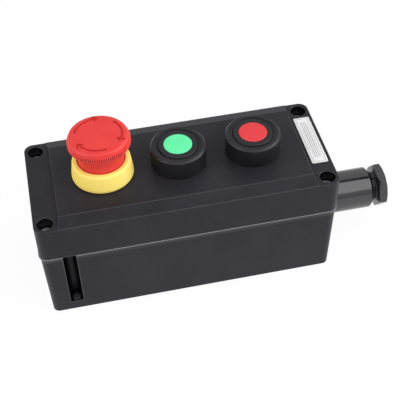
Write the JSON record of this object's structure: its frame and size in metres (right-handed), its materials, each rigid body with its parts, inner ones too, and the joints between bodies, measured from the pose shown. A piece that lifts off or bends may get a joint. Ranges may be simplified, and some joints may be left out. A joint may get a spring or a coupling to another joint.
{
  "type": "explosion-proof push button box",
  "caption": "Dark moulded control box with a twist-release emergency stop, a green and a red push button on a raised cover panel, and a cable gland on its end.",
  "frame": {"origin": "centre of the flat mounting face of the base", "axes": "+X along the row of operators towards the cable gland, +Y across the box, +Z out through the operators"},
  "size_m": [0.2388, 0.081, 0.1144],
  "materials": {
    "housing_plastic": "moulded, fine matte grain",
    "operator_plastic": "moulded, satin",
    "gland_plastic": "moulded, smooth",
    "block_plastic": "moulded, matte",
    "plunger_plastic": "moulded, smooth",
    "red_plastic": "moulded, satin",
    "yellow_plastic": "moulded, satin",
    "green_disc": "moulded, glossy",
    "red_disc": "moulded, glossy",
    "plate_white": "white lacquer",
    "seal_rubber": "plain",
    "steel": "bright zinc",
    "zinc_steel": "zinc plated",
    "brass": "plain"
  },
  "bodies": {
    "enclosure": {"base_box": "housing_plastic", "cover": "housing_plastic", "cover_gasket": "seal_rubber", "cover_screws": "steel", "cover_screw_washers": "steel", "threaded_inserts": "brass", "nameplate": "plate_white", "mounting_rail": "zinc_steel", "rail_screws": "steel", "contact_block_lids": "block_plastic", "terminal_screws": "steel", "earth_terminal": "brass", "earth_screw": "steel", "gland_body": "gland_plastic", "gland_face_seal": "seal_rubber", "gland_lock_nut": "gland_plastic", "gland_seal_bush": "seal_rubber", "estop_shroud": "yellow_plastic", "estop_barrel": "gland_plastic", "estop_spring": "steel", "green_housing": "operator_plastic", "green_spring": "steel", "red_housing": "operator_plastic", "red_spring": "steel", "estop_seal": "seal_rubber", "estop_lock_nut": "gland_plastic", "estop_contact_block": "block_plastic", "estop_fixed_contacts": "brass", "estop_contact_spring": "steel", "green_seal": "seal_rubber", "green_lock_nut": "gland_plastic", "green_contact_block": "block_plastic", "green_fixed_contacts": "brass", "green_contact_spring": "steel", "red_seal": "seal_rubber", "red_lock_nut": "gland_plastic", "red_contact_block": "block_plastic", "red_fixed_contacts": "brass", "red_contact_spring": "steel"},
    "estop_stem": {"estop_stem": "steel", "estop_stem_clip": "steel"},
    "estop_head": {"estop_head": "red_plastic", "estop_head_retainer": "steel"},
    "gland_washer": {"gland_thrust_washer": "steel"},
    "gland_nut": {"gland_nut": "gland_plastic"},
    "green_button": {"green_cap": "operator_plastic", "green_disc": "green_disc", "green_stem": "steel", "green_stem_clip": "steel"},
    "red_button": {"red_cap": "operator_plastic", "red_disc": "red_disc", "red_stem": "steel", "red_stem_clip": "steel"},
    "estop_contact": {"estop_contact_plunger": "plunger_plastic", "estop_contact_bridge": "brass"},
    "green_contact": {"green_contact_plunger": "plunger_plastic", "green_contact_bridge": "brass"},
    "red_contact": {"red_contact_plunger": "plunger_plastic", "red_contact_bridge": "brass"}
  },
  "joints": [
    {"name": "estop_press", "type": "slide", "parent": "enclosure", "child": "estop_stem", "axis": [0, 0, -1], "range_m": [0, 0.006], "stiffness_N_per_m": 600, "springref_m": -0.006, "deforming": ["estop_spring"]},
    {"name": "estop_twist", "type": "hinge", "parent": "estop_stem", "child": "estop_head", "pos_m": [-0.0485, 0, 0.104], "axis": [0, 0, -1], "range_deg": [0, 45], "stiffness_Nm_per_rad": 0.05},
    {"name": "green_press", "type": "slide", "parent": "enclosure", "child": "green_button", "axis": [0, 0, -1], "range_m": [0, 0.004], "stiffness_N_per_m": 500, "springref_m": -0.006, "deforming": ["green_spring"]},
    {"name": "red_press", "type": "slide", "parent": "enclosure", "child": "red_button", "axis": [0, 0, -1], "range_m": [0, 0.004], "stiffness_N_per_m": 500, "springref_m": -0.006, "deforming": ["red_spring"]},
    {"name": "estop_contact_travel", "type": "slide", "parent": "enclosure", "child": "estop_contact", "axis": [0, 0, -1], "range_m": [0, 0.006], "deforming": ["estop_contact_spring"]},
    {"name": "green_contact_travel", "type": "slide", "parent": "enclosure", "child": "green_contact", "axis": [0, 0, -1], "range_m": [0, 0.004], "deforming": ["green_contact_spring"]},
    {"name": "red_contact_travel", "type": "slide", "parent": "enclosure", "child": "red_contact", "axis": [0, 0, -1], "range_m": [0, 0.004], "deforming": ["red_contact_spring"]},
    {"name": "gland_washer_advance", "type": "slide", "parent": "enclosure", "child": "gland_washer", "axis": [-1, 0, 0], "range_m": [0, 0.004]},
    {"name": "gland_nut_turn", "type": "hinge", "parent": "gland_washer", "child": "gland_nut", "pos_m": [0.139, 0, 0.0281], "axis": [-1, 0, 0], "range_deg": [0, 720]}
  ],
  "couplings": [
    {"joint": "estop_contact_travel", "follows": "estop_press", "ratio": 1},
    {"joint": "green_contact_travel", "follows": "green_press", "ratio": 1},
    {"joint": "red_contact_travel", "follows": "red_press", "ratio": 1},
    {"joint": "gland_washer_advance", "follows": "gland_nut_turn", "m_per_rad": 0.00031831}
  ]
}
